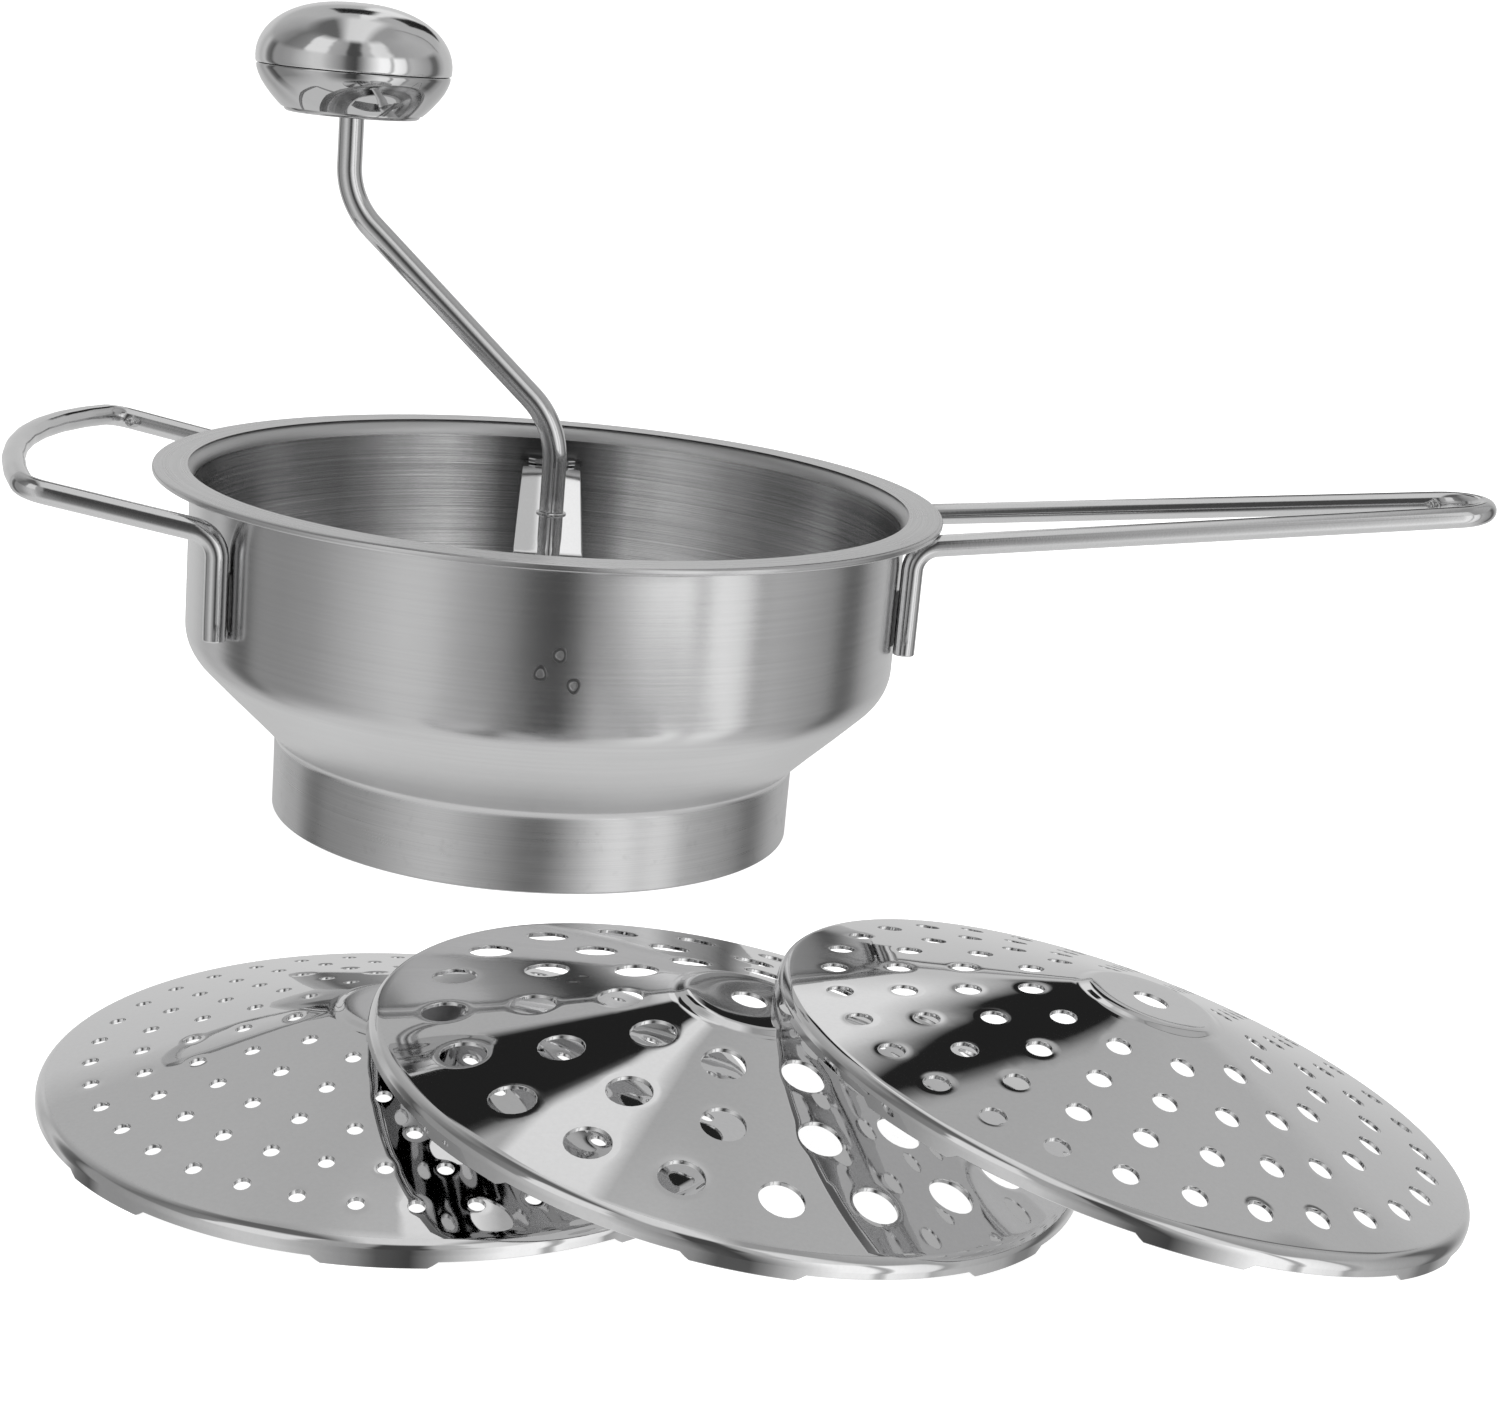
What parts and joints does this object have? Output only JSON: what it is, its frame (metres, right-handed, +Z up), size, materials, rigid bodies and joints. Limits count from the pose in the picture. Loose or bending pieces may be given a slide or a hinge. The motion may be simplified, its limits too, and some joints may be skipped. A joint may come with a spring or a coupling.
{
  "type": "food mill",
  "caption": "Hand-cranked food mill: spun steel bowl with wire handles, sprung bridge bar, crank with blade, and pierced discs lying beside it.",
  "frame": {"origin": "centre of the whole set's footprint, on the floor", "axes": "+X towards the long handle's end, +Y away from the loose discs, +Z up along the bowl's axis"},
  "size_m": [0.3953, 0.3858, 0.2096],
  "materials": {
    "brushed_bowl_steel": "satin, brushed round the bowl",
    "polished_wire_steel": "polished stainless steel",
    "blade_steel": "plain satin",
    "spring_steel": "plain bright wire and stampings",
    "knob_chrome": "mirror",
    "mirror_disc_steel": "mirror"
  },
  "bodies": {
    "bowl": {"bowl_shell": "brushed_bowl_steel", "long_handle_wire": "polished_wire_steel", "loop_handle_wire": "polished_wire_steel", "long_handle_joint_bead": "polished_wire_steel", "loop_handle_joint_bead": "polished_wire_steel", "long_handle_front_weld": "polished_wire_steel", "long_handle_rear_weld": "polished_wire_steel", "loop_handle_front_weld": "polished_wire_steel", "loop_handle_rear_weld": "polished_wire_steel", "front_lug": "polished_wire_steel", "rear_lug": "polished_wire_steel"},
    "bridge": {"bridge_bar": "polished_wire_steel", "upper_spring_washer": "spring_steel", "pressure_spring": "spring_steel"},
    "crank": {"crank_rod": "polished_wire_steel", "crank_shaft": "polished_wire_steel", "shaft_joint_ring": "polished_wire_steel", "shaft_clip": "spring_steel", "lower_spring_washer": "spring_steel", "blade_hub": "blade_steel", "blade": "blade_steel", "knob_retainer": "spring_steel"},
    "knob": {"knob_upper_shell": "knob_chrome", "knob_lower_shell": "knob_chrome", "knob_bush": "spring_steel"},
    "fine_disc": {"fine_disc": "mirror_disc_steel"},
    "coarse_disc": {"coarse_disc": "mirror_disc_steel"},
    "medium_disc": {"medium_disc": "mirror_disc_steel"}
  },
  "joints": [
    {"name": "bar_press", "type": "slide", "parent": "bowl", "child": "bridge", "axis": [0, 0, -1], "range_m": [0, 0.004], "stiffness_N_per_m": 1500, "deforming": ["pressure_spring"]},
    {"name": "crank_turn", "type": "hinge", "parent": "bowl", "child": "crank", "pos_m": [-0.0569, 0.089, 0.06], "axis": [0, 0, 1], "continuous": true},
    {"name": "knob_spin", "type": "hinge", "parent": "crank", "child": "knob", "pos_m": [-0.1144, 0.089, 0.19], "axis": [0, 0, 1], "continuous": true},
    {"name": "fine_disc_lift", "type": "slide", "parent": "bowl", "child": "fine_disc", "axis": [0, 0, 1], "range_m": [0, 0.1]},
    {"name": "coarse_disc_lift", "type": "slide", "parent": "fine_disc", "child": "coarse_disc", "axis": [0, 0, 1], "range_m": [0, 0.1]},
    {"name": "medium_disc_lift", "type": "slide", "parent": "coarse_disc", "child": "medium_disc", "axis": [0, 0, 1], "range_m": [0, 0.1]}
  ]
}
